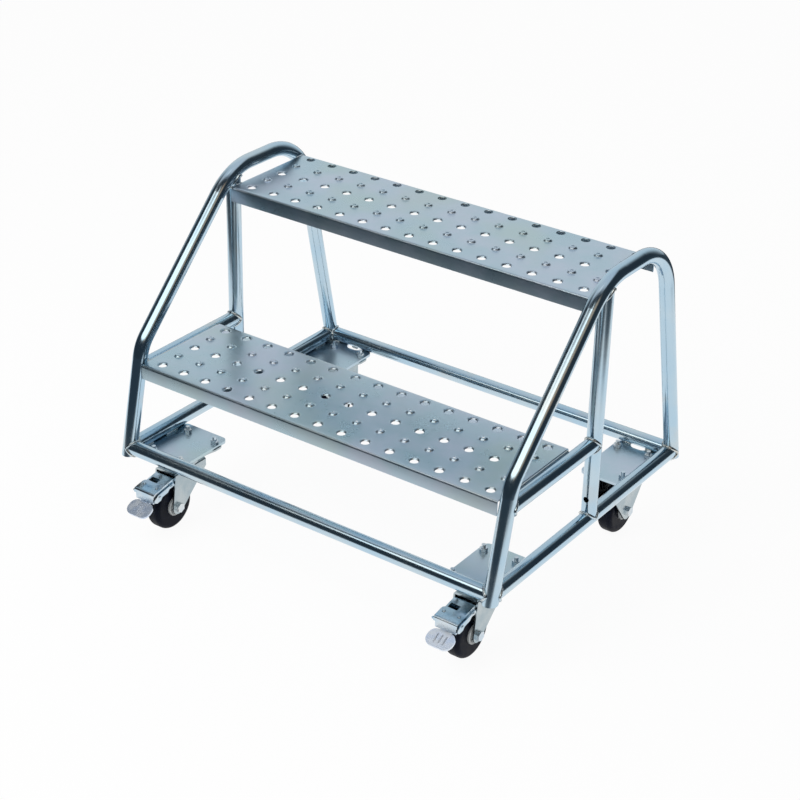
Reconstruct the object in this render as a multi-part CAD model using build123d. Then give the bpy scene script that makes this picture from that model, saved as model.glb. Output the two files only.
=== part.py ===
"""Mobile safety steps: two perforated treads in a bent-tube frame on four castors.

Millimetres, +Z up. The low step faces -Y and +X is the right hand of someone climbing the steps.
The origin lies on the floor under the middle of the whole steps.
"""
from build123d import *
import math
import os

# Tube stock, and the gaps that stand for weld seams and tight fits
TUBE_D = 22.0
TUBE_WALL = 1.5
WELD_GAP = 0.2
TIGHT_GAP = 0.05

# Base ring, between the axes of opposite rails
BASE_WIDTH = 627.6
BASE_DEPTH = 476.0

# Side frames: rakes of the legs from the vertical, and the corners that the tube bends round
FRONT_RAKE = 12.5
REAR_RAKE = 12.7
KNEE_HEIGHT = 275.5
SHOULDER_Y = -2.4
GUARD_RISE = 22.0
KNEE_RADIUS = 60.0
SHOULDER_RADIUS = 100.0
REAR_BEND_RADIUS = 85.0
UPRIGHT_Y = 3.0
VENT_D = 8.5
VENT_RISE = 22.0

# Treads: sheets folded down at front and rear, with rows of punched holes
LOWER_TREAD_HEIGHT = 253.0
TREAD_RISE = 207.0
LOWER_TREAD_Y = -130.0
TREAD_GOING = 203.6
COLUMN_PITCH = 40.0
END_MARGIN = 20.0
ROWS = 5
ROW_PITCH = 34.4
FRONT_MARGIN = 19.6
LOWER_REAR_MARGIN = 15.5
UPPER_REAR_MARGIN = 9.5
SHEET = 2.0
LIP_DEPTH = 22.0
NOSING_RADIUS = 4.0
DISH_D = 16.0
DISH_HOLE_D = 11.0
DISH_DEPTH = 3.0
DIMPLE_D = 14.0
DIMPLE_TOP_D = 8.5
DIMPLE_HEIGHT = 3.0
DIMPLE_HOLE_D = 5.0
PRESSED_WALL = 1.5

# Corner plates, set back from the axes of the rails, and the bolts that hold the castors
CORNER_PLATE_T = 4.0
CORNER_PLATE_WIDTH = 83.0
CORNER_PLATE_LENGTH = 115.0
PLATE_SETBACK = 2.0
PLATE_CORNER_RADIUS = 9.0
PLATE_NOTCH_WIDTH = 28.0
PLATE_NOTCH_DEPTH = 10.0
BOLT_D = 6.0
BOLT_HOLE_D = 6.6
BOLT_ACROSS = 10.0
BOLT_HEAD_T = 4.0
NUT_T = 5.0
BOLT_END = 5.0
BOLT_PITCH_X = 52.0
BOLT_PITCH_Y = 74.0
BOLT_EDGE_X = 8.5
BOLT_EDGE_Y = 20.0

# Castors, heights above the floor
WHEEL_D = 75.0
TYRE_WIDTH = 24.0
TYRE_SHOULDER = 7.0
HUB_D = 30.0
HUB_WIDTH = 31.0
HUB_RIM = 2.0
HUB_DISH = 2.0
HUB_CHAMFER = 1.0
BOSS_D = 14.0
BOSS_TAPER = 2.0
AXLE_D = 8.0
AXLE_ACROSS = 13.0
AXLE_HEAD_T = 5.0
RUNNING_FIT = 0.06
SLIDE_GAP = 0.3
CASTOR_HEIGHT = 110.0
CASTOR_PLATE_T = 3.0
EAR_RADIUS = 10.0
PLATE_WAIST = 4.0
TRAIL = 38.0
FORK_INSIDE = 34.0
FORK_SHEET = 2.5
FORK_CROWN_T = 3.0
FORK_CROWN_HEIGHT = 93.5
FORK_CROWN_FRONT = -42.0
FORK_CROWN_REAR = 24.0
FORK_SKIRT = 13.0
FORK_END_RADIUS = 11.0
FORK_EDGE_RADIUS = 4.0
RACE_D = 48.0
RACE_HEIGHT = 7.5
RACE_EDGE_RADIUS = 2.5
LOWER_RACE_D = 40.0
KING_PIN_D = 12.0
KING_PIN_HEAD_D = 18.0
KING_PIN_HEAD_T = 2.5
RIGID_FORK_LENGTH = 80.0
RIGID_FORK_SKIRT = 38.0
RIGID_END_RADIUS = 13.0

# Brakes on the front castors
ARM_WIDTH = 33.0
ARM_SHEET = 2.0
ARM_REAR_Y = -26.0
ARM_FRONT_Y = -88.0
ARM_FRONT_HEIGHT = 79.5
ARM_FLANGE = 9.0
ARM_LIP = 15.0
ARM_SLOT_LENGTH = 9.0
ARM_SLOT_WIDTH = 15.0
ARM_SLOT_X = -6.0
ARM_SLOT_Y = -60.0
PEDAL_WIDTH = 41.0
PEDAL_LENGTH = 26.0
PEDAL_CORNER_RADIUS = 11.5
PEDAL_T = 3.0
PEDAL_TILT = 27.0
PEDAL_NECK = 16.0
PEDAL_RIDGES = 3
PEDAL_RIDGE_PITCH = 7.0
PEDAL_RIDGE_D = 2.4

# Values that follow from the sizes above
TUBE_R = TUBE_D / 2
SIDE_X = BASE_WIDTH / 2
RAIL_Y = BASE_DEPTH / 2
PLATE_TOP = CASTOR_HEIGHT + CORNER_PLATE_T
BASE_HEIGHT = PLATE_TOP + TUBE_R
UPPER_TREAD_HEIGHT = LOWER_TREAD_HEIGHT + TREAD_RISE
GUARD_HEIGHT = UPPER_TREAD_HEIGHT + GUARD_RISE
BEARER_HEIGHT = LOWER_TREAD_HEIGHT - TUBE_R
TREAD_WIDTH = BASE_WIDTH - TUBE_D - 2 * WELD_GAP
COLUMNS = 1 + int((TREAD_WIDTH - 2 * END_MARGIN) / COLUMN_PITCH)
WHEEL_R = WHEEL_D / 2
CASTOR_PLATE_UNDER = CASTOR_HEIGHT - CASTOR_PLATE_T
CROWN_UNDER = FORK_CROWN_HEIGHT - FORK_CROWN_T
PLATE_X = SIDE_X - PLATE_SETBACK - CORNER_PLATE_WIDTH / 2
PLATE_Y = RAIL_Y - PLATE_SETBACK - CORNER_PLATE_LENGTH / 2
CASTOR_X = PLATE_X - CORNER_PLATE_WIDTH / 2 + BOLT_EDGE_X + BOLT_PITCH_X / 2
CASTOR_Y = PLATE_Y - CORNER_PLATE_LENGTH / 2 + BOLT_EDGE_Y + BOLT_PITCH_Y / 2

SIDES = {"left": -1, "right": 1}
# name: side of the steps, front (-1) or rear (1); a front castor swivels and has a brake, a rear one is fixed
CORNERS = {
    "front_left": (-1, -1),
    "front_right": (1, -1),
    "rear_left": (-1, 1),
    "rear_right": (1, 1),
}


def bent_path(corners, radii):
    """Wire through the corners, with a bend of the given radius at each inner corner."""
    corners = [Vector(*corner) for corner in corners]
    edges = []
    start = corners[0]
    for before, corner, after, radius in zip(corners, corners[1:], corners[2:], radii):
        back = (before - corner).normalized()
        ahead = (after - corner).normalized()
        reach = radius / math.tan(math.radians(back.get_angle(ahead) / 2))
        edges.append(Line(start, corner + back * reach))
        edges.append(TangentArc(corner + back * reach, corner + ahead * reach, tangent=-back))
        start = corner + ahead * reach
    edges.append(Line(start, corners[-1]))
    return Wire(edges)


def tube(path):
    """Hollow tube along a path."""
    section = Plane(path @ 0, z_dir=path % 0) * (Circle(TUBE_R) - Circle(TUBE_R - TUBE_WALL))
    return sweep(section, path=path)


def cope(path):
    """Solid bar along a path, a weld gap larger than the tube, that copes the tubes welded to it."""
    section = Plane(path @ 0, z_dir=path % 0) * Circle(TUBE_R + WELD_GAP)
    return sweep(section, path=path)


def side_path(side):
    """Axis of a side frame: front leg, stringer, guard beside the upper tread, rear leg."""
    low = PLATE_TOP - TUBE_D
    front_lean = math.tan(math.radians(FRONT_RAKE))
    rear_lean = math.tan(math.radians(REAR_RAKE))
    corners = [
        (-RAIL_Y + front_lean * (low - BASE_HEIGHT), low),
        (-RAIL_Y + front_lean * (KNEE_HEIGHT - BASE_HEIGHT), KNEE_HEIGHT),
        (SHOULDER_Y, GUARD_HEIGHT),
        (RAIL_Y - rear_lean * (GUARD_HEIGHT - BASE_HEIGHT), GUARD_HEIGHT),
        (RAIL_Y - rear_lean * (low - BASE_HEIGHT), low),
    ]
    radii = (KNEE_RADIUS, SHOULDER_RADIUS, REAR_BEND_RADIUS)
    return bent_path([(side * SIDE_X, y, z) for y, z in corners], radii)


def side_rail_path(side):
    """Axis of a side rail of the base ring, from the front leg to the rear leg."""
    return Wire([Line((side * SIDE_X, -RAIL_Y, BASE_HEIGHT), (side * SIDE_X, RAIL_Y, BASE_HEIGHT))])


def end_rail_path(end):
    """Axis of the front (-1) or rear (+1) rail, from the left leg to the right leg."""
    return Wire([Line((-SIDE_X, end * RAIL_Y, BASE_HEIGHT), (SIDE_X, end * RAIL_Y, BASE_HEIGHT))])


def upright_path(side):
    """Axis of an upright, from the side rail up to the shoulder bend."""
    x = side * SIDE_X
    return Wire([Line((x, UPRIGHT_Y, BASE_HEIGHT), (x, UPRIGHT_Y, GUARD_HEIGHT))])


def bearer_path(side):
    """Axis of a lower tread bearer, from the front leg back to the upright."""
    x = side * SIDE_X
    lean = math.tan(math.radians(FRONT_RAKE))
    leg_y = -RAIL_Y + lean * (BEARER_HEIGHT - BASE_HEIGHT)
    return Wire([Line((x, leg_y, BEARER_HEIGHT), (x, UPRIGHT_Y, BEARER_HEIGHT))])


def largest(shape):
    """The main solid of a coped tube, without the slivers past its joints."""
    return max(shape.solids(), key=lambda solid: solid.volume)


def side_frame(side):
    """One bent tube, its two feet cut level with the tops of the corner plates."""
    return split(tube(side_path(side)), bisect_by=Plane.XY.offset(PLATE_TOP + WELD_GAP), keep=Keep.TOP)


def upright(side):
    """Upright coped to the side rail below and the shoulder above, with a vent hole for the plating."""
    post = largest(tube(upright_path(side)) - cope(side_rail_path(side)) - cope(side_path(side)))
    vent_z = BASE_HEIGHT + TUBE_R + VENT_RISE
    return post - Pos(side * SIDE_X, UPRIGHT_Y - TUBE_R, vent_z) * Rot(X=90) * Cylinder(VENT_D / 2, TUBE_D)


def tread_bearer(side):
    """Bearer coped to the front leg and to the upright."""
    return largest(tube(bearer_path(side)) - cope(side_path(side)) - cope(upright_path(side)))


def side_rail(side):
    """Side rail coped to the front leg and to the rear leg."""
    return largest(tube(side_rail_path(side)) - cope(side_path(side)))


def end_rail(end):
    """Front or rear rail coped to the legs, and to the side rails in the inner corners."""
    rail = tube(end_rail_path(end))
    for side in SIDES.values():
        rail = largest(rail - cope(side_path(side)) - cope(side_rail_path(side)))
    return rail


def tray(rear_margin):
    """Sheet folded down at front and rear, top face at Z = 0 and the middle row on the X axis."""
    middle = (rear_margin - FRONT_MARGIN) / 2
    depth = (ROWS - 1) * ROW_PITCH + FRONT_MARGIN + rear_margin
    outside = Pos(0, middle, -LIP_DEPTH / 2) * Box(TREAD_WIDTH, depth, LIP_DEPTH)
    inside = Pos(0, middle, -LIP_DEPTH / 2 - SHEET)
    inside = inside * Box(TREAD_WIDTH + 2 * SHEET, depth - 2 * SHEET, LIP_DEPTH)
    nosings = outside.edges().filter_by(Axis.X).group_by(Axis.Z)[-1]
    inner_bends = inside.edges().filter_by(Axis.X).group_by(Axis.Z)[-1]
    return fillet(nosings, NOSING_RADIUS) - fillet(inner_bends, NOSING_RADIUS - SHEET)


def pressing(rim_d, mouth_d, height):
    """Cone that a punch draws out of the sheet, from its rim at Z = 0 up to its mouth."""
    return Pos(0, 0, height / 2) * Cone(rim_d / 2, mouth_d / 2, height)


def tread(rear_margin):
    """Tray with dished holes pressed down in the odd rows and pierced dimples pressed up in the even."""
    odd_rows = math.ceil(ROWS / 2)
    even_rows = ROWS - odd_rows
    dishes = GridLocations(COLUMN_PITCH, 2 * ROW_PITCH, COLUMNS, odd_rows)
    dimples = GridLocations(COLUMN_PITCH, 2 * ROW_PITCH, COLUMNS, even_rows)
    around = 2 * PRESSED_WALL
    under = Pos(0, 0, -SHEET)
    dish = Rot(X=180) * pressing(DISH_D, DISH_HOLE_D, DISH_DEPTH)
    collar = Rot(X=180) * pressing(DISH_D, DISH_HOLE_D + around, DISH_DEPTH)
    dimple = pressing(DIMPLE_D, DIMPLE_TOP_D, DIMPLE_HEIGHT)
    hollow = under * pressing(DIMPLE_D - around, DIMPLE_TOP_D - around, DIMPLE_HEIGHT)
    hole = Cylinder(DIMPLE_HOLE_D / 2, LIP_DEPTH)
    sheet = tray(rear_margin) + [place * collar for place in dishes] + [place * dimple for place in dimples]
    return sheet - [place * (hollow + hole) for place in dimples] - [place * dish for place in dishes]


def corner_plate(side, end):
    """Flat plate welded under a corner of the ring, drilled for a castor and notched at the end rail."""
    outline = RectangleRounded(CORNER_PLATE_WIDTH, CORNER_PLATE_LENGTH, PLATE_CORNER_RADIUS)
    outline = Pos(side * PLATE_X, end * PLATE_Y) * outline
    edge_y = PLATE_Y + CORNER_PLATE_LENGTH / 2
    notch = Pos(side * CASTOR_X, end * edge_y) * SlotOverall(PLATE_NOTCH_WIDTH, 2 * PLATE_NOTCH_DEPTH)
    bolts = GridLocations(BOLT_PITCH_X, BOLT_PITCH_Y, 2, 2)
    holes = [Pos(side * CASTOR_X, end * CASTOR_Y) * place * Circle(BOLT_HOLE_D / 2) for place in bolts]
    return Pos(0, 0, CASTOR_HEIGHT) * extrude(outline - notch - holes, CORNER_PLATE_T)


def castor_plate():
    """Castor top plate with four bolt ears, waisted between them; swivel axis at the origin."""
    width = BOLT_PITCH_X + 2 * EAR_RADIUS
    length = BOLT_PITCH_Y + 2 * EAR_RADIUS
    chord = BOLT_PITCH_Y - 2 * EAR_RADIUS
    scoop_radius = (PLATE_WAIST ** 2 + (chord / 2) ** 2) / (2 * PLATE_WAIST)
    outline = RectangleRounded(width, length, EAR_RADIUS)
    for side in SIDES.values():
        outline -= Pos(side * (width / 2 - PLATE_WAIST + scoop_radius)) * Circle(scoop_radius)
    for place in GridLocations(BOLT_PITCH_X, BOLT_PITCH_Y, 2, 2):
        outline -= place * Circle(BOLT_HOLE_D / 2)
    return Pos(0, 0, CASTOR_PLATE_UNDER) * extrude(outline, CASTOR_PLATE_T)


def swivel_plate():
    """Top plate of a swivel castor with its upper ball race, bored for the king pin."""
    race = Pos(0, 0, CASTOR_PLATE_UNDER - RACE_HEIGHT / 2) * Cylinder(RACE_D / 2, RACE_HEIGHT)
    race = fillet(race.edges().group_by(Axis.Z)[0], RACE_EDGE_RADIUS)
    return castor_plate() + race - Cylinder(KING_PIN_D / 2 + TIGHT_GAP, 2 * CASTOR_HEIGHT)


def king_pin():
    """King pin riveted over the castor plate, its lower head under the fork crown."""
    head_top = CROWN_UNDER - SLIDE_GAP
    length = CASTOR_HEIGHT - head_top
    pin = Pos(0, 0, head_top + length / 2) * Cylinder(KING_PIN_D / 2, length)
    return pin + Pos(0, 0, head_top - KING_PIN_HEAD_T / 2) * Cylinder(KING_PIN_HEAD_D / 2, KING_PIN_HEAD_T)


def castor_bolts():
    """Four hexagon bolts, heads under the castor plate and nuts on the corner plate."""
    hexagon = RegularPolygon(BOLT_ACROSS / 2, 6, major_radius=False, rotation=30)
    shank_length = BOLT_HEAD_T + CASTOR_PLATE_T + CORNER_PLATE_T + NUT_T + BOLT_END
    bolt = extrude(Circle(BOLT_D / 2), shank_length)
    bolt += extrude(hexagon, BOLT_HEAD_T)
    bolt += Pos(0, 0, shank_length - BOLT_END - NUT_T) * extrude(hexagon, NUT_T)
    low = CASTOR_PLATE_UNDER - BOLT_HEAD_T
    places = GridLocations(BOLT_PITCH_X, BOLT_PITCH_Y, 2, 2)
    return Compound([Pos(0, 0, low) * place * bolt for place in places])


def fork_outline(crown, axle_y, end_radius):
    """Side view of a fork: the box (front, rear, bottom, top) drawn down to a round end at the axle."""
    front, rear, bottom, top = crown
    skirt = Pos((front + rear) / 2, (bottom + top) / 2) * Rectangle(rear - front, top - bottom)
    end = Pos(axle_y, WHEEL_R) * Circle(end_radius)
    return make_hull(skirt.edges() + end.edges())


def fork_bar(outline):
    """The side view drawn out to the full width of the fork."""
    return extrude(Plane.YZ * outline, FORK_INSIDE / 2 + FORK_SHEET, both=True)


def axle_hole(axle_y):
    """Hole through both fork legs for the axle bolt."""
    return Pos(0, axle_y, WHEEL_R) * Rot(Y=90) * Cylinder(AXLE_D / 2 + TIGHT_GAP, 2 * FORK_INSIDE)


def swivel_fork():
    """Pressed fork of a swivel castor: crown with the lower ball race and two legs that trail forward."""
    crown_box = (FORK_CROWN_FRONT, FORK_CROWN_REAR, FORK_CROWN_HEIGHT - FORK_SKIRT, FORK_CROWN_HEIGHT)
    fork = fork_bar(fork_outline(crown_box, -TRAIL, FORK_END_RADIUS))
    fork = fillet(fork.edges().filter_by(Axis.Y).group_by(Axis.Z)[-1], FORK_EDGE_RADIUS)
    space = Pos(0, 0, CROWN_UNDER / 2) * Box(FORK_INSIDE, BASE_DEPTH, CROWN_UNDER)
    race_height = CASTOR_PLATE_UNDER - RACE_HEIGHT - SLIDE_GAP - FORK_CROWN_HEIGHT
    race = Pos(0, 0, FORK_CROWN_HEIGHT + race_height / 2) * Cylinder(LOWER_RACE_D / 2, race_height)
    bore = Cylinder(KING_PIN_D / 2 + RUNNING_FIT, 2 * CASTOR_HEIGHT)
    return fork - space + race - bore - axle_hole(-TRAIL)


def rigid_fork():
    """Fixed castor pressed from one sheet: top plate with two legs straight down to the axle."""
    half = RIGID_FORK_LENGTH / 2
    skirt_box = (-half, half, CASTOR_PLATE_UNDER - RIGID_FORK_SKIRT, CASTOR_PLATE_UNDER)
    legs = fork_bar(fork_outline(skirt_box, 0, RIGID_END_RADIUS))
    space = Pos(0, 0, CASTOR_PLATE_UNDER / 2) * Box(FORK_INSIDE, BASE_DEPTH, CASTOR_PLATE_UNDER)
    return castor_plate() + (legs - space) - axle_hole(0)


def axle(axle_y):
    """Axle bolt through the fork legs, with its head and nut outside them."""
    hexagon = RegularPolygon(AXLE_ACROSS / 2, 6, major_radius=False)
    half = FORK_INSIDE / 2 + FORK_SHEET
    bolt = extrude(Circle(AXLE_D / 2), half + AXLE_HEAD_T, both=True)
    bolt += Pos(0, 0, half) * extrude(hexagon, AXLE_HEAD_T)
    bolt += Pos(0, 0, -half - AXLE_HEAD_T) * extrude(hexagon, AXLE_HEAD_T)
    return Pos(0, axle_y, WHEEL_R) * Rot(Y=90) * bolt


def turned(outline, axle_y):
    """Solid of revolution about the axle; the outline holds (distance from mid-plane, radius) points."""
    face = make_face(Polyline(*outline, close=True))
    return Pos(0, axle_y, WHEEL_R) * revolve(face, Axis.X)


def wheel_hub(axle_y):
    """Moulded hub with a dished face each side and a boss that runs up to the fork."""
    bore = AXLE_D / 2 + RUNNING_FIT
    boss = FORK_INSIDE / 2 - SLIDE_GAP
    face = HUB_WIDTH / 2
    half_outline = [
        (boss, bore), (boss, BOSS_D / 2), (face - HUB_DISH, BOSS_D / 2 + BOSS_TAPER),
        (face, HUB_D / 2 - HUB_RIM), (face - HUB_CHAMFER, HUB_D / 2),
    ]
    other_half = [(-x, radius) for x, radius in reversed(half_outline)]
    return turned(half_outline + other_half, axle_y)


def tyre(axle_y):
    """Solid rubber tyre, its shoulders rounded off to a narrow crown."""
    half = TYRE_WIDTH / 2
    inside = HUB_D / 2 + TIGHT_GAP
    face = make_face(Polyline((-half, inside), (half, inside), (half, WHEEL_R), (-half, WHEEL_R), close=True))
    crown = face.vertices().group_by(Axis.Y)[-1]
    return Pos(0, axle_y, WHEEL_R) * revolve(fillet(crown, TYRE_SHOULDER), Axis.X)


def brake_arm():
    """Pressed channel from under the fork crown out over the wheel, with a slot and a turned-down lip."""
    rear_top = CROWN_UNDER - TIGHT_GAP
    slope = math.atan2(rear_top - ARM_FRONT_HEIGHT, ARM_REAR_Y - ARM_FRONT_Y)
    drop = ARM_FLANGE / math.cos(slope)
    lip_y = ARM_FRONT_Y + ARM_SHEET
    top = [(ARM_REAR_Y, rear_top), (ARM_FRONT_Y, ARM_FRONT_HEIGHT)]
    lip_low = ARM_FRONT_HEIGHT - ARM_LIP
    flange = [(lip_y + ARM_FLANGE, ARM_FRONT_HEIGHT - drop), (ARM_REAR_Y, rear_top - drop)]
    side_view = Polyline(*top, (ARM_FRONT_Y, lip_low), (lip_y, lip_low), *flange, close=True)
    arm = extrude(Plane.YZ * make_face(side_view), ARM_WIDTH / 2, both=True)
    under_rear = rear_top - ARM_SHEET
    under = Polyline((lip_y, -WHEEL_D), (lip_y, ARM_FRONT_HEIGHT - ARM_SHEET), (ARM_REAR_Y, under_rear),
                     (WHEEL_D, under_rear), (WHEEL_D, -WHEEL_D), close=True)
    arm -= extrude(Plane.YZ * make_face(under), ARM_WIDTH / 2 - ARM_SHEET, both=True)
    slot = Pos(ARM_SLOT_X, ARM_SLOT_Y, CROWN_UNDER) * Box(ARM_SLOT_WIDTH, ARM_SLOT_LENGTH, WHEEL_D)
    return arm - slot


def brake_pedal():
    """Ridged oval foot pad on a neck that hooks behind the lip of the brake arm."""
    pad = extrude(RectangleRounded(PEDAL_WIDTH, PEDAL_LENGTH, PEDAL_CORNER_RADIUS), PEDAL_T)
    for place in GridLocations(PEDAL_RIDGE_PITCH, 0, PEDAL_RIDGES, 1):
        ridge = Rot(X=90) * Cylinder(PEDAL_RIDGE_D / 2, PEDAL_LENGTH / 2)
        pad += Pos(0, 0, PEDAL_T) * place * ridge
    neck_length = PEDAL_LENGTH / 2 + ARM_SHEET
    pad += Pos(0, neck_length / 2, PEDAL_T / 2) * Box(PEDAL_NECK, neck_length, PEDAL_T)
    pad = Rot(X=PEDAL_TILT) * Pos(0, -neck_length, -PEDAL_T) * pad
    return Pos(0, ARM_FRONT_Y + ARM_SHEET, ARM_FRONT_HEIGHT - ARM_LIP - WELD_GAP) * pad


def frame_nodes():
    """The welded frame and its treads."""
    nodes = {}
    for name, side in SIDES.items():
        nodes[f"side_frame_{name}"] = side_frame(side)
        nodes[f"upright_{name}"] = upright(side)
        nodes[f"tread_bearer_{name}"] = tread_bearer(side)
        nodes[f"side_rail_{name}"] = side_rail(side)
    nodes["front_rail"] = end_rail(-1)
    nodes["rear_rail"] = end_rail(1)
    nodes["lower_tread"] = Pos(0, LOWER_TREAD_Y, LOWER_TREAD_HEIGHT) * tread(LOWER_REAR_MARGIN)
    upper_tread_y = LOWER_TREAD_Y + TREAD_GOING
    nodes["upper_tread"] = Pos(0, upper_tread_y, UPPER_TREAD_HEIGHT) * tread(UPPER_REAR_MARGIN)
    return nodes


def castor_nodes():
    """The corner plates and what each one carries."""
    nodes = {}
    for name, (side, end) in CORNERS.items():
        swivels = end < 0
        axle_y = -TRAIL if swivels else 0
        pieces = {"bolts": castor_bolts(), "axle": axle(axle_y)}
        pieces.update(hub=wheel_hub(axle_y), tyre=tyre(axle_y))
        if swivels:
            pieces.update(swivel_plate=swivel_plate(), king_pin=king_pin(), fork=swivel_fork(),
                          brake_arm=brake_arm(), brake_pedal=brake_pedal())
        else:
            pieces["fork"] = rigid_fork()
        nodes[f"corner_plate_{name}"] = corner_plate(side, end)
        for piece, shape in pieces.items():
            nodes[f"castor_{piece}_{name}"] = Pos(side * CASTOR_X, end * CASTOR_Y) * shape
    return nodes


nodes = frame_nodes() | castor_nodes()
extent = Compound([solid for shape in nodes.values() for solid in shape.solids()]).bounding_box()
to_origin = Pos(-extent.center().X, -extent.center().Y, 0)
os.makedirs("parts", exist_ok=True)
for node, shape in nodes.items():
    export_step(to_origin * shape, f"parts/{node}.step")
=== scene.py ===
import math

import bmesh
import bpy
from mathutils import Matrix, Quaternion, Vector
from mathutils.bvhtree import BVHTree


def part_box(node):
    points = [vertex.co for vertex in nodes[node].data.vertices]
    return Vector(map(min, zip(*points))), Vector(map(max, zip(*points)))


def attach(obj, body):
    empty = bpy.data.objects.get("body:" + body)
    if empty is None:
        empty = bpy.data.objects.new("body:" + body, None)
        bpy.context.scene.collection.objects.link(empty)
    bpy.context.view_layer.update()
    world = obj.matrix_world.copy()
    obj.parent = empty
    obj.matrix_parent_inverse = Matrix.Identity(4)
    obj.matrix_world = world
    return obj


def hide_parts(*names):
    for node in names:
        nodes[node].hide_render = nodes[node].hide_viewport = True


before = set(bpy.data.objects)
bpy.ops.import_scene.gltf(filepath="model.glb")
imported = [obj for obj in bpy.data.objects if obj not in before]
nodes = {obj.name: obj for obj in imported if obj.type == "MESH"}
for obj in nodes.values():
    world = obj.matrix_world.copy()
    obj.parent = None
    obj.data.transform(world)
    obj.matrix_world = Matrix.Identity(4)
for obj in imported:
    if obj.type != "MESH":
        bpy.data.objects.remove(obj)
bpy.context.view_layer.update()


# Base ring: four lengths of drawn steel tube, coped and welded to the feet of the side frames.
# The whole welded frame is bright zinc plated afterwards, so the tube shines like dull chrome,
# with faint draw lines along it and blue to straw tints where the passivation is thicker.
class Strand:
    """One output socket in a material; arithmetic on it adds Math nodes."""

    def __init__(self, tree, socket=None):
        self.tree = tree
        self.socket = socket

    def node(self, kind, settings, sockets, output=0):
        """Adds a node, makes its settings, then fills its sockets with values or strands."""
        made = self.tree.nodes.new("ShaderNode" + kind)
        for name, setting in settings.items():
            setattr(made, name, setting)
        for name, value in sockets.items():
            if isinstance(value, Strand):
                self.tree.links.new(value.socket, made.inputs[name])
            else:
                made.inputs[name].default_value = value
        return Strand(self.tree, made.outputs[output])

    def maths(self, operation, first, second):
        return self.node("Math", {"operation": operation}, {0: first, 1: second})

    def __add__(self, other):
        return self.maths("ADD", self, other)

    __radd__ = __add__

    def __mul__(self, other):
        return self.maths("MULTIPLY", self, other)

    __rmul__ = __mul__

    def __sub__(self, other):
        return self.maths("SUBTRACT", self, other)

    def __rsub__(self, other):
        return self.maths("SUBTRACT", other, self)

    def __truediv__(self, other):
        return self.maths("DIVIDE", self, other)

    def __rtruediv__(self, other):
        return self.maths("DIVIDE", other, self)

    def __pow__(self, power):
        return self.maths("POWER", self, power)

    def most(self, *others):
        """The largest of this strand and others."""
        largest = self
        for other in others:
            largest = self.maths("MAXIMUM", largest, other)
        return largest

    def between(self, low, high):
        """0 below low, 1 above high and a smooth step between them."""
        return self.node("MapRange", {"interpolation_type": "SMOOTHSTEP"},
                         {"Value": self, "From Min": low, "From Max": high})

    def blend(self, first, second):
        """The first colour where this strand is 0 and the second where it is 1."""
        colours = {key: (*colour, 1.0) if isinstance(colour, tuple) else colour
                   for key, colour in ((6, first), (7, second))}
        return self.node("Mix", {"data_type": "RGBA"}, {0: self, **colours}, output=2)

    def place(self):
        """Position on the piece, in metres."""
        return self.node("TexCoord", {}, {}, output="Object")

    def along(self, x, y, z):
        """How far this place lies along a direction."""
        return self.node("VectorMath", {"operation": "DOT_PRODUCT"}, {0: self, 1: (x, y, z)}, output="Value")

    def stretched(self, x, y, z):
        return self.node("VectorMath", {"operation": "MULTIPLY"}, {0: self, 1: (x, y, z)})

    def noise(self, scale, detail=2.0, roughness=0.5):
        return self.node("TexNoise", {}, {"Vector": self, "Scale": scale, "Detail": detail,
                                          "Roughness": roughness})

    def bump(self, strength, distance, normal=None):
        sockets = {"Strength": strength, "Distance": distance, "Height": self}
        if normal is not None:
            sockets["Normal"] = normal
        return self.node("Bump", {}, sockets)


def finish(name, **constants):
    """A new material with its constant sockets set, its shader and a strand to build on."""
    material = bpy.data.materials.new(name)
    material.use_nodes = True
    shader = material.node_tree.nodes["Principled BSDF"]
    for socket, value in constants.items():
        shader.inputs[socket.replace("_", " ")].default_value = value
    return material, shader, Strand(material.node_tree)


def feed(shader, sockets):
    """Links strands to the shader's sockets."""
    for name, strand in sockets.items():
        strand.tree.links.new(strand.socket, shader.inputs[name])


def coat(material, *names):
    """Gives CAD nodes this material all over."""
    for name in names:
        slots = nodes[name].data.materials
        slots.clear()
        slots.append(material)


def bright_zinc_tube(name, across):
    """Zinc plate on drawn tube; across is the axis that lies square to the tube everywhere."""
    material, shader, start = finish(name, Metallic=1.0)
    place = start.place()
    cloud = place.noise(9.0, 3.0).between(0.35, 0.7)
    straw = place.noise(21.0, 2.0).between(0.58, 0.75)
    draw = place.stretched(*(600.0 if axis == across else 2.0 for axis in "xyz")).noise(1.0, 3.0, 0.6)
    plate = cloud.blend((0.45, 0.62, 0.75), (0.58, 0.69, 0.75))
    feed(shader, {
        "Base Color": (straw * 0.35).blend(plate, (0.62, 0.60, 0.56)),
        "Roughness": 0.13 + 0.06 * cloud + 0.03 * draw,
        "Normal": draw.bump(0.03, 0.0001, place.noise(60.0, 2.0).bump(0.04, 0.001)),
    })
    return material


coat(bright_zinc_tube("zinc_end_rails", "z"), "front_rail", "rear_rail")
side_tube_zinc = bright_zinc_tube("zinc_side_tubes", "x")
coat(side_tube_zinc, "side_rail_left", "side_rail_right")


# Side frames: one bent tube a side, with the uprights and lower tread bearers welded into it.
# The same bright-plated tube as the base ring; the uprights have a vent hole for the plating bath.
coat(side_tube_zinc, "side_frame_left", "side_frame_right", "upright_left", "upright_right",
     "tread_bearer_left", "tread_bearer_right")


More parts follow.
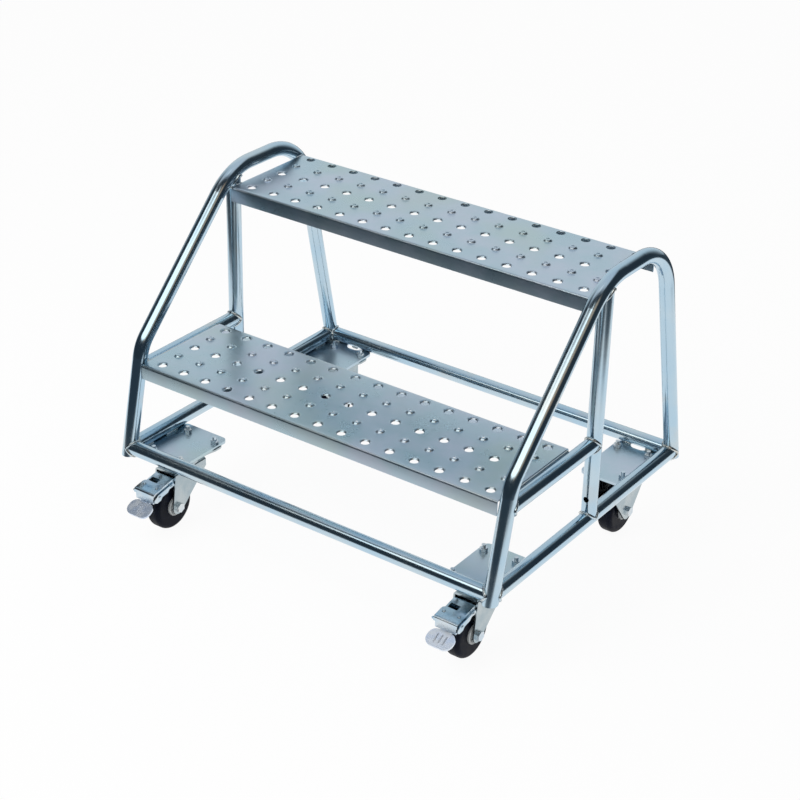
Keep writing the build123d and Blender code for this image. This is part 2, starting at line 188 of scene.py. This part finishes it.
# Welds: beads of filler run round the end of each coped tube, and stitches along tread ends and plates.
# They are plated with the frame, so they shine like the tube, but rippled and a little more yellow.
TUBE_R = 0.011
BEAD_R = 0.0022
BEAD_RIPPLE = 0.13
RIPPLE_PITCH = 0.0030
BEAD_SIDES = 8
BEAD_STEPS = 72
BEAD_TAPER = 1.5 * BEAD_R
BEAD_SEAT = 0.0004
RAY_INSET = 0.985
RAY_REACH = 1.0
SHORTEST_RUN = 3
MERGE = 0.00001
STITCH = 0.024
STITCH_STEP = RIPPLE_PITCH / 4
WELD_REACH = 0.0024
LOWER_SEAM_OUT = 0.0018
LOWER_SEAM_RISE = 0.0083
LOWER_SEAM_END = 0.004
UPPER_LIP_MIDDLE = 0.0008
UPPER_LIP_END = 0.002
UPPER_SHEET_DROP = 0.0038
PLATE_SEAM_IN = 0.0062
PLATE_SEAM_RISE = 0.0015
# where the stitches of a corner plate lie, as shares of its length and of its width
PLATE_SIDE_STITCHES = (0.25, 0.7)
PLATE_END_STITCHES = (0.18, 0.62)


def add_bead(mesh, points, outward):
    """Sweeps a rippled bead along points, tapered at its ends unless they meet.

    outward gives the direction of its upper side at each point.
    """
    closed = (points[0] - points[-1]).length < 2 * BEAD_R
    steps = [0.0]
    for before, point in zip(points, points[1:]):
        steps.append(steps[-1] + (point - before).length)
    rings = []
    for i, point in enumerate(points):
        before = points[i - 1] if closed or i else point
        after = points[(i + 1) % len(points)] if closed or i + 1 < len(points) else point
        run = (after - before).normalized()
        up = (outward[i] - run * outward[i].dot(run)).normalized()
        aside = run.cross(up)
        radius = BEAD_R * (1 + BEAD_RIPPLE * math.sin(2 * math.pi * steps[i] / RIPPLE_PITCH))
        if not closed:
            near_end = min(1.0, min(steps[i], steps[-1] - steps[i]) / BEAD_TAPER)
            radius *= math.sqrt(max(0.0, 1 - (1 - near_end) ** 2))
        turns = (2 * math.pi * side / BEAD_SIDES for side in range(BEAD_SIDES))
        rings.append([mesh.verts.new(point + radius * (math.cos(turn) * up + math.sin(turn) * aside))
                      for turn in turns])
    for first, second in zip(rings, rings[1:] + rings[:1] if closed else rings[1:]):
        for side in range(BEAD_SIDES):
            across = (side + 1) % BEAD_SIDES
            mesh.faces.new((first[side], first[across], second[across], second[side]))


def add_runs(mesh, runs):
    """Adds a bead for each run of (point, outward) pairs that is long enough."""
    for run in runs:
        if len(run) > SHORTEST_RUN:
            add_bead(mesh, [point for point, out in run], [out for point, out in run])


def surface_of(*names):
    """The joined surfaces of CAD nodes, for finding where a weld meets them."""
    corners, faces = [], []
    for name in names:
        data = nodes[name].data
        faces += [[len(corners) + i for i in face.vertices] for face in data.polygons]
        corners += [vertex.co.copy() for vertex in data.vertices]
    return BVHTree.FromPolygons(corners, faces)


def weld_joint(mesh, start, heading, *joined):
    """Runs beads where the tube that leaves start along heading meets the joined nodes."""
    surface = surface_of(*joined)
    across = heading.orthogonal().normalized()
    runs = [[]]
    for i in range(BEAD_STEPS):
        out = Quaternion(heading, 2 * math.pi * i / BEAD_STEPS) @ across
        hit = surface.ray_cast(start + out * (TUBE_R * RAY_INSET), heading, RAY_REACH)[0]
        if hit is None:
            runs.append([])
        else:
            runs[-1].append((hit + BEAD_SEAT * (out - heading), out))
    if len(runs) > 1:
        runs[0] = runs.pop() + runs[0]
    add_runs(mesh, runs)


def weld_stitch(mesh, start, end, out):
    """One short straight bead."""
    steps = math.ceil((end - start).length / STITCH_STEP)
    points = [start.lerp(end, i / steps) for i in range(steps + 1)]
    add_bead(mesh, points, [out] * len(points))


def weld_edge(mesh, corners, *joined):
    """Runs beads along those parts of an edge, given by its corners, that touch the joined nodes."""
    surface = surface_of(*joined)
    runs = [[]]
    for start, end in zip(corners, corners[1:]):
        steps = math.ceil((end - start).length / STITCH_STEP)
        for i in range(steps):
            point = start.lerp(end, i / steps)
            touch, out, _, gap = surface.find_nearest(point)
            if gap > WELD_REACH:
                runs.append([])
            else:
                runs[-1].append((point.lerp(touch, 0.5), out))
    add_runs(mesh, runs)


def middle(name):
    """The middle of a CAD node's box."""
    low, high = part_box(name)
    return (low + high) / 2


mesh = bmesh.new()
for hand, side in (("left", -1), ("right", 1)):
    frame_tube, rail, post = f"side_frame_{hand}", f"side_rail_{hand}", f"upright_{hand}"
    weld_joint(mesh, middle(post), Vector((0, 0, -1)), rail)
    weld_joint(mesh, middle(post), Vector((0, 0, 1)), frame_tube)
    bearer = middle(f"tread_bearer_{hand}")
    weld_joint(mesh, bearer, Vector((0, -1, 0)), frame_tube)
    weld_joint(mesh, bearer, Vector((0, 1, 0)), post)
    for way in (-1, 1):
        weld_joint(mesh, middle(rail), Vector((0, way, 0)), frame_tube)
    for end_rail in ("front_rail", "rear_rail"):
        weld_joint(mesh, middle(end_rail), Vector((side, 0, 0)), frame_tube, rail)
    low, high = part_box("lower_tread")
    seam = Vector((side * (high.x + LOWER_SEAM_OUT), (low.y + high.y) / 2, bearer.z + LOWER_SEAM_RISE))
    reach = Vector((0, (high.y - low.y) / 2 - LOWER_SEAM_END, 0))
    weld_stitch(mesh, seam - reach, seam + reach, Vector((0, 0, 1)))
    low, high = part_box("upper_tread")
    lip_y, sheet_z, end_x = low.y + UPPER_LIP_MIDDLE, high.z - UPPER_SHEET_DROP, side * high.x
    weld_edge(mesh, [Vector((end_x, lip_y, low.z + UPPER_LIP_END)), Vector((end_x, lip_y, sheet_z)),
                     Vector((end_x, high.y, sheet_z))], frame_tube, post)
    for end in ("front", "rear"):
        low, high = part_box(f"corner_plate_{end}_{hand}")
        seam_z = high.z + PLATE_SEAM_RISE
        for along in PLATE_SIDE_STITCHES:
            seam = Vector((middle(rail).x - side * PLATE_SEAM_IN, low.y + along * (high.y - low.y), seam_z))
            reach = Vector((0, STITCH / 2, 0))
            weld_stitch(mesh, seam - reach, seam + reach, Vector((-side, 0, 1)))
        inward = 1 if end == "front" else -1
        seam_y = middle(end + "_rail").y + inward * PLATE_SEAM_IN
        for along in PLATE_END_STITCHES:
            seam = Vector((low.x + along * (high.x - low.x), seam_y, seam_z))
            reach = Vector((STITCH / 4, 0, 0))
            weld_stitch(mesh, seam - reach, seam + reach, Vector((0, inward, 1)))


def settle(mesh, name, merge=MERGE, closed=True):
    """Turns a bmesh into smooth mesh data; joins points within merge and faces a closed shape outwards."""
    bmesh.ops.remove_doubles(mesh, verts=mesh.verts, dist=merge)
    if closed:
        bmesh.ops.recalc_face_normals(mesh, faces=mesh.faces)
    data = bpy.data.meshes.new(name)
    mesh.to_mesh(data)
    mesh.free()
    data.shade_smooth()
    return data


beads = settle(mesh, "weld_beads")


def add_piece(name, data, body, slot, material, *replaced):
    """Puts a mesh in the scene as a piece that rides on a body."""
    piece = bpy.data.objects.new(name, data)
    bpy.context.scene.collection.objects.link(piece)
    data.materials.append(material)
    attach(piece, body)
    if replaced:
        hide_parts(*replaced)
    return piece


weld_zinc, shader, start = finish("zinc_welds", Metallic=1.0)
heat = start.place().noise(30.0, 2.0).between(0.4, 0.7)
spatter = start.place().noise(900.0, 2.0)
feed(shader, {
    "Base Color": heat.blend((0.58, 0.68, 0.74), (0.68, 0.68, 0.64)),
    "Roughness": 0.16 + 0.14 * spatter,
    "Normal": spatter.bump(0.2, 0.0003),
})
add_piece("weld_beads", beads, "frame", "zinc_tube", weld_zinc)


# Treads: steel sheets folded down at front and rear, with dished holes in rows one, three and five and
# pierced dimples in rows two and four. They are punched first and plated later, so the finish is satin
# and cloudy.
TREAD_SHEET = 0.0016
TREAD_BEND = 0.004
TREAD_COLUMNS = 15
TREAD_ROWS = 5
COLUMN_PITCH = 0.0400
ROW_PITCH = 0.0344
FRONT_MARGIN = 0.0196
DISH_HOLE_R = 0.0057
DISH_RIM_R = 0.0088
DISH_DEPTH = 0.0024
DIMPLE_HOLE_R = 0.0025
DIMPLE_CROWN_R = 0.0040
DIMPLE_RIM_R = 0.0074
DIMPLE_HEIGHT = 0.0030
HOLE_LAND = 0.0025
RIM_LAND = 0.0008
RIM_CLEAR = 0.0012
SHARP_ANGLE = math.radians(50)
EDGE_STEPS = 4
PRESSING_RINGS = 8
FOLD_STEPS = 6
TREAD_MERGE = 0.00002


def dish_height(radius, rim):
    """Sheet drawn down to a hole, steepest at the hole."""
    t = (radius - DISH_HOLE_R) / (rim - DISH_HOLE_R)
    return -DISH_DEPTH * (1 - t) ** 2


def dimple_height(radius, rim):
    """Sheet pushed up to a pierced crown."""
    t = min(1.0, (rim - radius) / (rim - DIMPLE_CROWN_R))
    return DIMPLE_HEIGHT * t * t * (3 - 2 * t)


def cell_edge(left, right, front, rear):
    """Points round a rectangular cell, evenly spaced from each corner to the middle of each side."""
    def halves(low, high):
        steps = range(EDGE_STEPS)
        return [low * (1 - i / EDGE_STEPS) for i in steps] + [high * i / EDGE_STEPS for i in steps]
    along, back = halves(left, right), halves(front, rear)
    return ([(x, front) for x in along] + [(right, y) for y in back]
            + [(-x, rear) for x in halves(-right, -left)] + [(left, -y) for y in halves(-rear, -front)])


def tread_mesh(name, low, high):
    """Pressed tray between two corners of its box; the dimples reach the top of the box."""
    mesh = bmesh.new()
    top = high.z - DIMPLE_HEIGHT
    first_x = -(TREAD_COLUMNS - 1) / 2 * COLUMN_PITCH
    first_y = low.y + FRONT_MARGIN
    columns = [first_x + i * COLUMN_PITCH for i in range(TREAD_COLUMNS)]
    rows = [first_y + i * ROW_PITCH for i in range(TREAD_ROWS)]
    rear_bend = min(TREAD_BEND, high.y - rows[-1] - DISH_HOLE_R - HOLE_LAND)
    for row, y in enumerate(rows):
        dished = row % 2 == 0
        hole, rim = (DISH_HOLE_R, DISH_RIM_R) if dished else (DIMPLE_HOLE_R, DIMPLE_RIM_R)
        height = dish_height if dished else dimple_height
        front = low.y + TREAD_BEND - y if row == 0 else -ROW_PITCH / 2
        rear = high.y - rear_bend - y if row == TREAD_ROWS - 1 else ROW_PITCH / 2
        rim = min(rim, rear - RIM_CLEAR)
        for column, x in enumerate(columns):
            left = low.x - x if column == 0 else -COLUMN_PITCH / 2
            right = high.x - x if column == TREAD_COLUMNS - 1 else COLUMN_PITCH / 2
            edge = cell_edge(left, right, front, rear)
            turns = [math.atan2(b, a) for a, b in edge]
            radii = [hole + (rim - hole) * i / PRESSING_RINGS for i in range(PRESSING_RINGS + 1)]
            levels = [(radius, top + height(radius, rim)) for radius in radii] + [(rim + RIM_LAND, top)]
            loops = []
            for radius, z in levels:
                loops.append([mesh.verts.new((x + radius * math.cos(turn), y + radius * math.sin(turn), z))
                              for turn in turns])
            loops.append([mesh.verts.new((x + a, y + b, top)) for a, b in edge])
            for inner, outer in zip(loops, loops[1:]):
                for i in range(len(edge)):
                    j = (i + 1) % len(edge)
                    mesh.faces.new((inner[i], outer[i], outer[j], inner[j]))
    across = sorted({round(x + a, 7) for x in columns for a in
                     [COLUMN_PITCH / 2 * i / EDGE_STEPS for i in range(-EDGE_STEPS, EDGE_STEPS + 1)]})
    across[0], across[-1] = low.x, high.x
    for outward, edge_y, radius in ((-1, low.y, TREAD_BEND), (1, high.y, rear_bend)):
        bend = [(edge_y - outward * radius * (1 - math.sin(turn)), top - radius * (1 - math.cos(turn)))
                for turn in (math.pi / 2 * i / FOLD_STEPS for i in range(FOLD_STEPS + 1))]
        outline = bend + [(edge_y, low.z)]
        strips = [[mesh.verts.new((x, y, z)) for x in across] for y, z in outline]
        for upper, lower in zip(strips, strips[1:]):
            for i in range(len(across) - 1):
                quad = (upper[i], lower[i], lower[i + 1], upper[i + 1])
                mesh.faces.new(quad if outward < 0 else quad[::-1])
    return settle(mesh, name, TREAD_MERGE, closed=False)


def satin_zinc_sheet(name):
    """Zinc plate on rolled sheet: satin, cloudy in lavender and green, and a little uneven."""
    material, shader, start = finish(name, Metallic=1.0)
    place = start.place()
    cloud = place.noise(11.0, 4.0, 0.6).between(0.3, 0.72)
    green = place.noise(7.0, 3.0).between(0.45, 0.7)
    speckle = place.noise(420.0, 2.0)
    plate = cloud.blend((0.46, 0.61, 0.69), (0.60, 0.67, 0.78))
    feed(shader, {
        "Base Color": (green * 0.6).blend(plate, (0.52, 0.64, 0.62)),
        "Roughness": 0.24 + 0.10 * cloud + 0.06 * speckle,
        "Normal": place.noise(16.0, 2.0).bump(0.08, 0.002, speckle.bump(0.05, 0.0002)),
    })
    return material


tread_zinc = satin_zinc_sheet("zinc_treads")
for tread in ("lower_tread", "upper_tread"):
    name = "pressed_" + tread
    piece = add_piece(name, tread_mesh(name, *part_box(tread)), "frame", "zinc_sheet", tread_zinc, tread)
    sheet = piece.modifiers.new("sheet", "SOLIDIFY")
    sheet.thickness = TREAD_SHEET
    sheet.offset = -1.0
    piece.modifiers.new("crisp_edges", "EDGE_SPLIT").split_angle = SHARP_ANGLE


# Corner plates: flat steel plates welded under the corners of the ring, drilled for the castor bolts.
# They are plated with the frame and have the same satin, cloudy finish as the treads.
corners = ("front_left", "front_right", "rear_left", "rear_right")
coat(satin_zinc_sheet("zinc_plates"), *(f"corner_plate_{corner}" for corner in corners))


# Castors: forks and top plates pressed from steel sheet, bolted through the corner plates.
# They are zinc plated and duller than the tube; the fasteners are plated brighter.
def pressed_zinc(name, dull, bright, roughness=0.16):
    """Zinc plate on pressed steel, cloudy between two colours."""
    material, shader, start = finish(name, Metallic=1.0)
    place = start.place()
    cloud = place.noise(40.0, 3.0).between(0.35, 0.7)
    feed(shader, {
        "Base Color": cloud.blend(dull, bright),
        "Roughness": roughness + 0.10 * cloud,
        "Normal": place.noise(120.0, 2.0).bump(0.1, 0.0004),
    })
    return material


def castor_parts(*kinds):
    """The names of the CAD nodes of these kinds, at every corner."""
    return [name for name in nodes if name.startswith(kinds)]


coat(pressed_zinc("zinc_castors", (0.38, 0.46, 0.50), (0.50, 0.56, 0.58)),
     *castor_parts("castor_fork", "castor_swivel_plate", "castor_king_pin"))
coat(pressed_zinc("zinc_fasteners", (0.62, 0.72, 0.80), (0.78, 0.82, 0.84), 0.32),
     *castor_parts("castor_bolts", "castor_axle"))


# Brakes: a pressed arm out over each front wheel, with a riveted cover plate, a side lever, a brake shoe
# under it and a foot pedal. The cover and lever are cut from sheet; all are blue-passivated zinc, and the
# pedal is paler, mottled at random with near-white that is a painted highlight.
COVER_WIDTH = 0.0375
COVER_SHEET = 0.0012
COVER_REAR = 0.024
COVER_LIP = 0.0065
COVER_BEND = 0.0025
COVER_CORNER = 0.006
COVER_STRIPS = 12
COVER_COLUMNS = 16
BEND_STEPS = 6
RIVET_R = 0.0026
RIVET_HEIGHT = 0.0014
RIVET_SHANK_R = 0.0016
RIVET_APART = 0.024
RIVET_BACK = 0.015
RIVET_SIDES = 16
DOME_STEPS = 4
LEVER_SHEET = 0.0015
LEVER_GAP = 0.0009
# how far behind the front edge of the arm and how far above its top
LEVER_OUTLINE = (
    (-0.0010, -0.0085), (0.0080, -0.0050), (0.0415, -0.0050), (0.0415, -0.0090), (0.0310, -0.0095),
    (0.0270, -0.0125), (0.0150, -0.0125), (0.0110, -0.0160), (0.0030, -0.0160), (-0.0010, -0.0130),
)
LEVER_RIVETS = ((0.0100, -0.0095), (0.0360, -0.0070))
# how far outside the left of the arm and how far behind its front edge
EAR_OUTLINE = (
    (-0.0010, 0.0010), (0.0060, 0.0000), (0.0075, 0.0020), (0.0060, 0.0045), (0.0030, 0.0050),
    (-0.0010, 0.0080),
)
EAR_DROP = 0.0060
# the shoe hangs under the arm: how far behind the front edge and how far above the top
SHOE_OUTLINE = (
    (0.0120, -0.0026), (0.0190, -0.0026), (0.0210, -0.0080), (0.0350, -0.0080), (0.0370, -0.0026),
    (0.0420, -0.0026), (0.0420, -0.0065), (0.0370, -0.0080), (0.0310, -0.0102), (0.0250, -0.0132),
    (0.0190, -0.0168), (0.0140, -0.0180), (0.0120, -0.0160),
)
SHOE_WIDTH = 0.0284
ARM_RISE = 0.01095
ARM_RUN = 0.0620
ARM_SLOPE = math.atan2(ARM_RISE, ARM_RUN)


def add_rivet(mesh, foot, up, aside, shank):
    """A domed head on a short shank; foot is the middle of the flat side of the head."""
    across = up.cross(aside)
    sections = [(-shank, RIVET_SHANK_R), (0.0, RIVET_SHANK_R)]
    for i in range(DOME_STEPS + 1):
        turn = math.pi / 2 * i / DOME_STEPS
        sections.append((RIVET_HEIGHT * math.sin(turn), RIVET_R * math.cos(turn)))
    turns = [2 * math.pi * side / RIVET_SIDES for side in range(RIVET_SIDES)]
    spokes = [math.cos(turn) * aside + math.sin(turn) * across for turn in turns]
    rings = [[mesh.verts.new(foot + up * height + radius * spoke) for spoke in spokes]
             for height, radius in sections]
    for lower, upper in zip(rings, rings[1:]):
        for i in range(RIVET_SIDES):
            j = (i + 1) % RIVET_SIDES
            mesh.faces.new((lower[i], lower[j], upper[j], upper[i]))
    mesh.faces.new(rings[0][::-1])


def add_plate(mesh, outline, sheet):
    """A flat plate: an outline swept by its thickness."""
    under = [mesh.verts.new(point) for point in outline]
    over = [mesh.verts.new(point + sheet) for point in outline]
    mesh.faces.new(under[::-1])
    mesh.faces.new(over)
    for i in range(len(outline)):
        j = (i + 1) % len(outline)
        mesh.faces.new((under[i], under[j], over[j], over[i]))


def brake_mesh(name, low, high):
    """Cover bent over the front edge of the arm in this box, with its lever, its ear and its shoe."""
    right, down = Vector((1, 0, 0)), Vector((0, 0, -1))
    rise = Vector((0, math.cos(ARM_SLOPE), math.sin(ARM_SLOPE)))
    up = right.cross(rise)
    arm_edge = Vector(((low.x + high.x) / 2, low.y, high.z - (high.y - low.y) * math.tan(ARM_SLOPE)))
    half_arm = (high.x - low.x) / 2
    edge = arm_edge + Vector((0, -COVER_SHEET, 0)) + up * COVER_SHEET
    line = [edge + down * COVER_LIP, edge + down * COVER_BEND]
    for i in range(1, BEND_STEPS):
        t = i / BEND_STEPS
        line.append(edge + COVER_BEND * ((1 - t) ** 2 * down + t ** 2 * rise))
    flat = COVER_REAR - COVER_BEND
    line += [edge + rise * (COVER_BEND + flat * i / COVER_STRIPS) for i in range(COVER_STRIPS + 1)]
    mesh = bmesh.new()
    strips = []
    for point in line:
        left_over = min(COVER_CORNER, (line[-1] - point).length)
        inset = COVER_CORNER - math.sqrt(COVER_CORNER ** 2 - (COVER_CORNER - left_over) ** 2)
        half = COVER_WIDTH / 2 - inset
        strips.append([mesh.verts.new(point + right * half * (2 * i / COVER_COLUMNS - 1))
                       for i in range(COVER_COLUMNS + 1)])
    for lower, upper in zip(strips, strips[1:]):
        for i in range(COVER_COLUMNS):
            mesh.faces.new((lower[i], lower[i + 1], upper[i + 1], upper[i]))
    bmesh.ops.solidify(mesh, geom=list(mesh.faces), thickness=COVER_SHEET)
    for hand in (-1, 1):
        add_rivet(mesh, edge + rise * RIVET_BACK + right * hand * RIVET_APART / 2, up, right, COVER_SHEET)
    wall = arm_edge + right * (half_arm + LEVER_GAP)
    add_plate(mesh, [wall + rise * back + up * above for back, above in LEVER_OUTLINE], right * LEVER_SHEET)
    for back, above in LEVER_RIVETS:
        foot = wall + right * LEVER_SHEET + rise * back + up * above
        add_rivet(mesh, foot, right, rise, LEVER_SHEET + 2 * LEVER_GAP)
    wall = arm_edge - right * SHOE_WIDTH / 2
    add_plate(mesh, [wall + rise * back + up * above for back, above in SHOE_OUTLINE], right * SHOE_WIDTH)
    wall = arm_edge - right * half_arm - up * EAR_DROP
    add_plate(mesh, [wall - right * out + rise * back for out, back in EAR_OUTLINE], up * LEVER_SHEET)
    data = settle(mesh, name)
    data.set_sharp_from_angle(angle=SHARP_ANGLE)
    return data


arm_zinc = pressed_zinc("zinc_brakes", (0.50, 0.64, 0.75), (0.68, 0.75, 0.80))
coat(arm_zinc, *castor_parts("castor_brake_arm"))
for corner in ("front_left", "front_right"):
    name = f"brake_cover_{corner}"
    data = brake_mesh(name, *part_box(f"castor_brake_arm_{corner}"))
    add_piece(name, data, f"fork_{corner}", "zinc_castor", arm_zinc)

pedal_zinc, shader, start = finish("zinc_pedals", Metallic=0.75)
# Painted highlight: the near-white second colour, mottled in at random, stands in for light glaring off the
# pedal; the lavender first colour is its plating.
painted_highlight_mottle = start.place().noise(70.0, 3.0).between(0.35, 0.7)
feed(shader, {
    "Base Color": painted_highlight_mottle.blend((0.66, 0.76, 0.92), (0.86, 0.91, 0.97)),
    "Roughness": 0.22 + 0.10 * painted_highlight_mottle,
    "Normal": start.place().noise(240.0, 2.0).bump(0.12, 0.0003),
})
coat(pedal_zinc, *castor_parts("castor_brake_pedal"))


# Wheels: a moulded grey hub that turns on the axle bolt, inside a solid black rubber tyre.
# The hub is plain, finely grained plastic; the tyre is dusty and has lost its shine.
hub_grey, shader, start = finish("hub_plastic", Roughness=0.42)
grain = start.place().noise(160.0, 3.0)
feed(shader, {"Base Color": grain.blend((0.44, 0.46, 0.46), (0.58, 0.60, 0.60)),
              "Normal": grain.bump(0.1, 0.0003)})
coat(hub_grey, *(f"castor_hub_{corner}" for corner in corners))

tyre_black, shader, start = finish("tyre_rubber", Specular_IOR_Level=0.10)
dust = start.place().noise(90.0, 4.0, 0.65).between(0.45, 0.8)
feed(shader, {"Base Color": dust.blend((0.002, 0.004, 0.012), (0.010, 0.014, 0.028)),
              "Roughness": 0.45 + 0.2 * dust,
              "Normal": start.place().noise(700.0, 2.0).bump(0.15, 0.0002)})
coat(tyre_black, *(f"castor_tyre_{corner}" for corner in corners))


# Stage: pale floor, white surroundings and one large soft lamp. The metal also shows the studio: white
# paper under the steps, a dark floor and walls round it, a grey back wall, a pale ceiling, a brown bench
# to the right and a bright window in front.
def seen_rays(tree):
    """1 for rays from the camera, in reflections and through clear things, else 0."""
    camera_rays = Strand(tree).node("LightPath", {}, {}, output="Is Camera Ray")
    light_path = camera_rays.socket.node
    return camera_rays.most(*(Strand(tree, light_path.outputs[name])
                              for name in ("Is Glossy Ray", "Is Transmission Ray")))


FLOOR_SIZE = 30.0
FLOOR_GLOW = 0.94
data = bpy.data.meshes.new("floor")
half = FLOOR_SIZE / 2
floor_corners = [(-half, -half, 0), (half, -half, 0), (half, half, 0), (-half, half, 0)]
data.from_pydata(floor_corners, [], [(0, 1, 2, 3)])
floor = bpy.data.objects.new("floor", data)
bpy.context.scene.collection.objects.link(floor)
paper = bpy.data.materials.new("floor_paper")
paper.use_nodes = True
tree = paper.node_tree
tree.nodes.remove(tree.nodes["Principled BSDF"])
start = Strand(tree)
matt = start.node("BsdfDiffuse", {}, {"Color": (0.9, 0.9, 0.9, 1.0)})
glow = start.node("Emission", {}, {"Color": (1.0, 1.0, 1.0, 1.0), "Strength": 1.0})
seen = start.node("MixShader", {}, {0: seen_rays(tree) * FLOOR_GLOW, 1: matt, 2: glow})
clear = start.node("BsdfTransparent", {}, {})
under = start.node("NewGeometry", {}, {}, output="Backfacing")
whole = start.node("MixShader", {}, {0: under, 1: seen, 2: clear})
tree.links.new(whole.socket, tree.nodes["Material Output"].inputs["Surface"])
data.materials.append(paper)

WORLD_LEVEL = 0.6
world = bpy.data.worlds.new("studio")
bpy.context.scene.world = world
world.use_nodes = True
tree = world.node_tree
tree.nodes["Background"].inputs["Color"].default_value = (1.0, 1.0, 1.0, 1.0)
strength = WORLD_LEVEL + seen_rays(tree) * (1 - WORLD_LEVEL)
tree.links.new(strength.socket, tree.nodes["Background"].inputs["Strength"])

DRAPE_RADIUS = 4.0
DRAPE_STEPS = 64
DRAPE_TIERS = 16
DRAPE_DARK = (0.029, 0.040, 0.050)
WALL_GREY = (0.74, 0.78, 0.80)
CEILING_GREY = (0.66, 0.69, 0.74)
BENCH_BROWN = (0.55, 0.40, 0.29)
WINDOW_WHITE = (1.9, 1.84, 1.74)
TO_BACK_WALL = (-0.577, 0.816, 0)
TO_BENCH = (0.839, -0.545, 0)
TO_WINDOW = (0.10, -0.995, 0)
PAST_CEILING = (0.35, -0.94, 0)
DARK_FLOOR_LEVEL = 1.4
DARK_FLOOR_INNER = 0.3
DARK_FLOOR_HEIGHT = 0.0015
# direction from the steps: where the white paper starts to fade into the dark floor, and where it ends
PAPER_EDGES = {
    (-1, 0, 0): (1.15, 1.45),
    (1, 0, 0): (0.88, 1.15),
    (0, -1, 0): (0.51, 0.76),
    (0, 1, 0): (0.95, 1.25),
    (-0.6, -0.8, 0): (0.80, 1.00),
}


def hang(name, data, shader, tree):
    """Puts a mesh in the scene so that it only shows in the metal, and gives it a finished shader."""
    cloth = bpy.data.objects.new(name, data)
    bpy.context.scene.collection.objects.link(cloth)
    cloth.visible_camera = False
    cloth.visible_diffuse = False
    cloth.visible_shadow = False
    cloth.visible_transmission = False
    tree.links.new(shader.socket, tree.nodes["Material Output"].inputs["Surface"])


def cloth_material(name, data):
    """An empty material on a mesh, and a strand to build its shader on."""
    material = bpy.data.materials.new(name)
    material.use_nodes = True
    material.node_tree.nodes.remove(material.node_tree.nodes["Principled BSDF"])
    data.materials.append(material)
    return Strand(material.node_tree)


def tiers(name, sections):
    """A mesh of revolution about the Z axis through (radius, height) points."""
    turns = [2 * math.pi * i / DRAPE_STEPS for i in range(DRAPE_STEPS)]
    points = [(r * math.cos(turn), r * math.sin(turn), z) for r, z in sections for turn in turns]
    faces = []
    for tier in range(0, DRAPE_STEPS * (len(sections) - 1), DRAPE_STEPS):
        for i in range(DRAPE_STEPS):
            j = (i + 1) % DRAPE_STEPS
            faces.append((tier + i, tier + j, tier + DRAPE_STEPS + j, tier + DRAPE_STEPS + i))
    data = bpy.data.meshes.new(name)
    data.from_pydata(points, [], faces)
    return data


data = tiers("studio_floor", [(DARK_FLOOR_INNER, DARK_FLOOR_HEIGHT), (DRAPE_RADIUS, DARK_FLOOR_HEIGHT)])
start = cloth_material("studio_floor", data)
place = start.place()
edges = [place.along(*direction).between(near, far) for direction, (near, far) in PAPER_EDGES.items()]
past_paper = edges[0].most(*edges[1:])
clear = start.node("BsdfTransparent", {}, {})
dark = start.node("Emission", {}, {"Color": (*DRAPE_DARK, 1.0), "Strength": DARK_FLOOR_LEVEL})
hang("studio_floor", data, start.node("MixShader", {}, {0: past_paper, 1: clear, 2: dark}), start.tree)

rises = [math.pi / 2 * i / DRAPE_TIERS for i in range(DRAPE_TIERS)]
sections = [(DRAPE_RADIUS * math.cos(rise), DRAPE_RADIUS * math.sin(rise)) for rise in rises]
data = tiers("studio_drape", sections)
start = cloth_material("studio_drape", data)
place = start.place().stretched(*[1 / DRAPE_RADIUS] * 3)
height = place.along(0, 0, 1)
level = (1 - height * height) ** 0.5
back_wall = (place.along(*TO_BACK_WALL) / level).between(0.40, 0.95)
shade = back_wall.blend(DRAPE_DARK, WALL_GREY)
ceiling = height.between(0.76, 0.90) * (1 - place.along(*PAST_CEILING).between(0.0, 0.25))
shade = ceiling.blend(shade, CEILING_GREY)
bench = (place.along(*TO_BENCH) / level).between(0.80, 0.92) * height.between(0.46, 0.58)
shade = (bench * (1 - height.between(0.72, 0.80))).blend(shade, BENCH_BROWN)
window = (place.along(*TO_WINDOW) / level).between(0.60, 0.74) * height.between(0.57, 0.65)
shade = (window * (1 - height.between(0.83, 0.88))).blend(shade, WINDOW_WHITE)
hang("studio_drape", data, start.node("Emission", {}, {"Color": shade, "Strength": 1.0}), start.tree)

LAMP_SIZE = 1.5
LAMP_POWER = 30.0
LAMP_PLACE = Vector((-0.60, -1.60, 2.1))
LAMP_AIM = Vector((0, 0, 0.25))
lamp = bpy.data.lights.new("softbox", "AREA")
lamp.size = LAMP_SIZE
lamp.energy = LAMP_POWER
softbox = bpy.data.objects.new("softbox", lamp)
bpy.context.scene.collection.objects.link(softbox)
softbox.location = LAMP_PLACE
softbox.visible_glossy = False
softbox.rotation_euler = (LAMP_PLACE - LAMP_AIM).to_track_quat("Z", "Y").to_euler()


# Camera: a view from the front right and above, rolled slightly as in the photograph.
# Its place and lens were solved from the hole grids of the treads and the lines of the tubes.
AZIMUTH = math.radians(35.26)
ELEVATION = math.radians(28.40)
ROLL = math.radians(1.32)
AIM = Vector((0.04846, -0.05749, 0.25300))
DISTANCE = 2.63273
FOCAL_LENGTH = 85.706
SENSOR_WIDTH = 36.0
FARTHEST = 100.0
back = Vector((math.sin(AZIMUTH) * math.cos(ELEVATION), -math.cos(AZIMUTH) * math.cos(ELEVATION),
               math.sin(ELEVATION)))
lens = bpy.data.cameras.new("camera")
lens.lens = FOCAL_LENGTH
lens.sensor_width = SENSOR_WIDTH
lens.clip_end = FARTHEST
camera = bpy.data.objects.new("camera", lens)
bpy.context.scene.collection.objects.link(camera)
camera.location = AIM + back * DISTANCE
camera.rotation_mode = "QUATERNION"
camera.rotation_quaternion = (-back).to_track_quat("-Z", "Y") @ Quaternion((0, 0, 1), ROLL)
bpy.context.scene.camera = camera
bpy.context.scene.view_settings.view_transform = "Standard"
